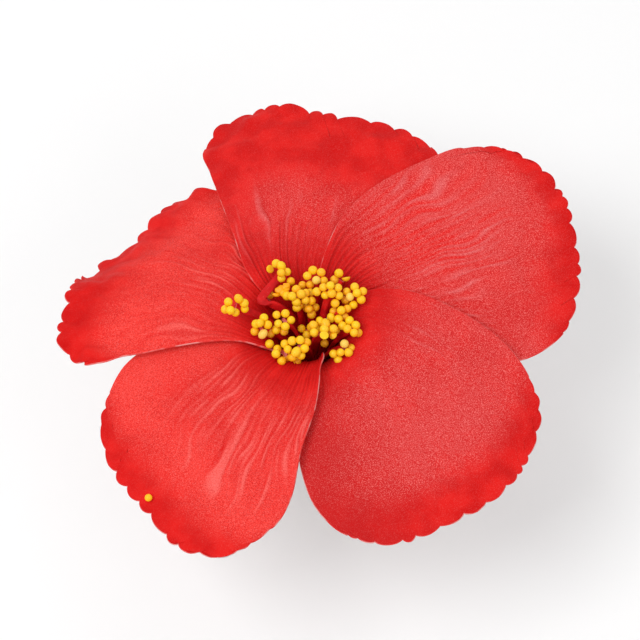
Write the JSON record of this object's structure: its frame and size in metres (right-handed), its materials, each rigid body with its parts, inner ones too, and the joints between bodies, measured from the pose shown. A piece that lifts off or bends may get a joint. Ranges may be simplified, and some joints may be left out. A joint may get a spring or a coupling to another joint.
{
  "type": "flower hair clip",
  "caption": "Sprung steel hair clip with a foam hibiscus of overlapping scalloped petals and beaded stamens glued to its top plate over a felt disc.",
  "frame": {"origin": "on the gripping face (underside) of the clip's top plate, on the flower's axis", "axes": "+Z out of the flower's mouth, away from the head; +X along the clip towards its thumb tab; +Y across the clip"},
  "size_m": [0.1215, 0.123, 0.0451],
  "materials": {
    "petal_foam": "matte pressed foam with a fine sparkling grain",
    "stamen_foam": "matte cut foam strip",
    "bead_foam": "satin painted bead",
    "felt": "matted fibre",
    "hot_glue": "clear set glue",
    "clip_steel": "bright nickel plate",
    "spring_steel": "plain spring strip"
  },
  "bodies": {
    "flower": {"petal_1": "petal_foam", "petal_2": "petal_foam", "petal_3": "petal_foam", "petal_4": "petal_foam", "petal_5": "petal_foam", "stamen_01": "stamen_foam", "stamen_02": "stamen_foam", "stamen_03": "stamen_foam", "stamen_04": "stamen_foam", "stamen_05": "stamen_foam", "stamen_06": "stamen_foam", "stamen_07": "stamen_foam", "stamen_08": "stamen_foam", "stamen_09": "stamen_foam", "stamen_10": "stamen_foam", "stamen_11": "stamen_foam", "stamen_12": "stamen_foam", "stamen_13": "stamen_foam", "stamen_14": "stamen_foam", "stamen_15": "stamen_foam", "stamen_16": "stamen_foam", "stamen_17": "stamen_foam", "beads_01": "bead_foam", "beads_02": "bead_foam", "beads_03": "bead_foam", "beads_04": "bead_foam", "beads_05": "bead_foam", "beads_06": "bead_foam", "beads_07": "bead_foam", "beads_08": "bead_foam", "beads_09": "bead_foam", "beads_10": "bead_foam", "beads_11": "bead_foam", "beads_12": "bead_foam", "beads_13": "bead_foam", "beads_14": "bead_foam", "beads_15": "bead_foam", "beads_16": "bead_foam", "beads_17": "bead_foam", "stray_bead": "bead_foam", "glue_core": "hot_glue", "clip_glue": "hot_glue", "felt_backing": "felt", "clip_top_plate": "clip_steel", "hinge_pin": "clip_steel", "leaf_spring": "spring_steel"},
    "jaw": {"clip_jaw": "clip_steel"}
  },
  "joints": [
    {"name": "jaw_hinge", "type": "hinge", "parent": "flower", "child": "jaw", "pos_m": [0.007, 0, -0.0025], "axis": [0, -1, 0], "range_deg": [0, 26], "stiffness_Nm_per_rad": 0.09, "springref_deg": -37.24, "deforming": ["leaf_spring"]}
  ]
}
